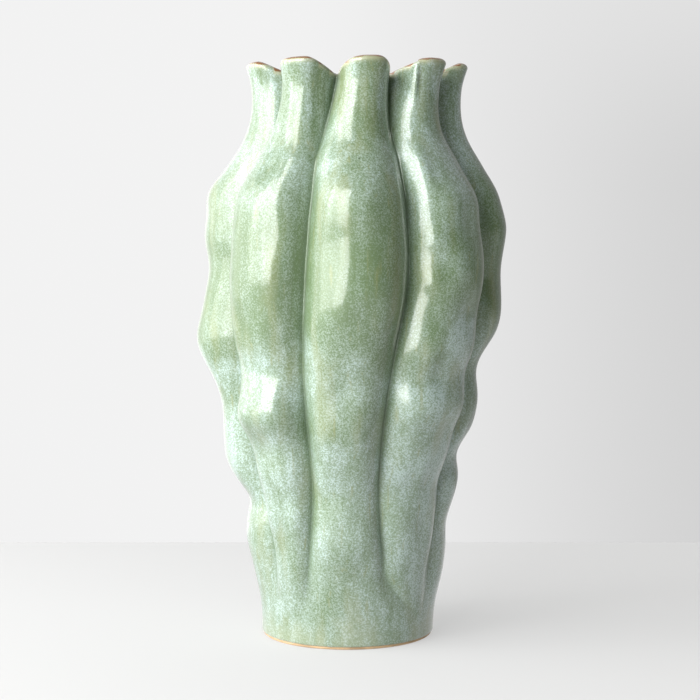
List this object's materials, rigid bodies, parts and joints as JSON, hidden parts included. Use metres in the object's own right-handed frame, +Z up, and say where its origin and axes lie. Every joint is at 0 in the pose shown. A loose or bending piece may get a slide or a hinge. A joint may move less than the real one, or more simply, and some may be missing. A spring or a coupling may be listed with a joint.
{
  "type": "stoneware vase",
  "caption": "Tall open vase with rounded vertical lobes, deep grooves between them, a pinched neck, a scalloped flaring rim and a round foot.",
  "frame": {"origin": "under the middle of the vase, on the surface it stands on", "axes": "+Z up along the vase, -Y towards its front"},
  "size_m": [0.2158, 0.2112, 0.4],
  "materials": {
    "body_clay": "fired stoneware clay under glaze",
    "foot_clay": "bare tan stoneware, matt",
    "outer_glaze": "glossy mottled celadon green",
    "inner_glaze": "glossy green"
  },
  "bodies": {
    "root": {"lobed_wall": "body_clay", "floor_slab": "body_clay", "foot_ring": "foot_clay", "outer_glaze": "outer_glaze", "liner_glaze": "inner_glaze"}
  },
  "joints": []
}
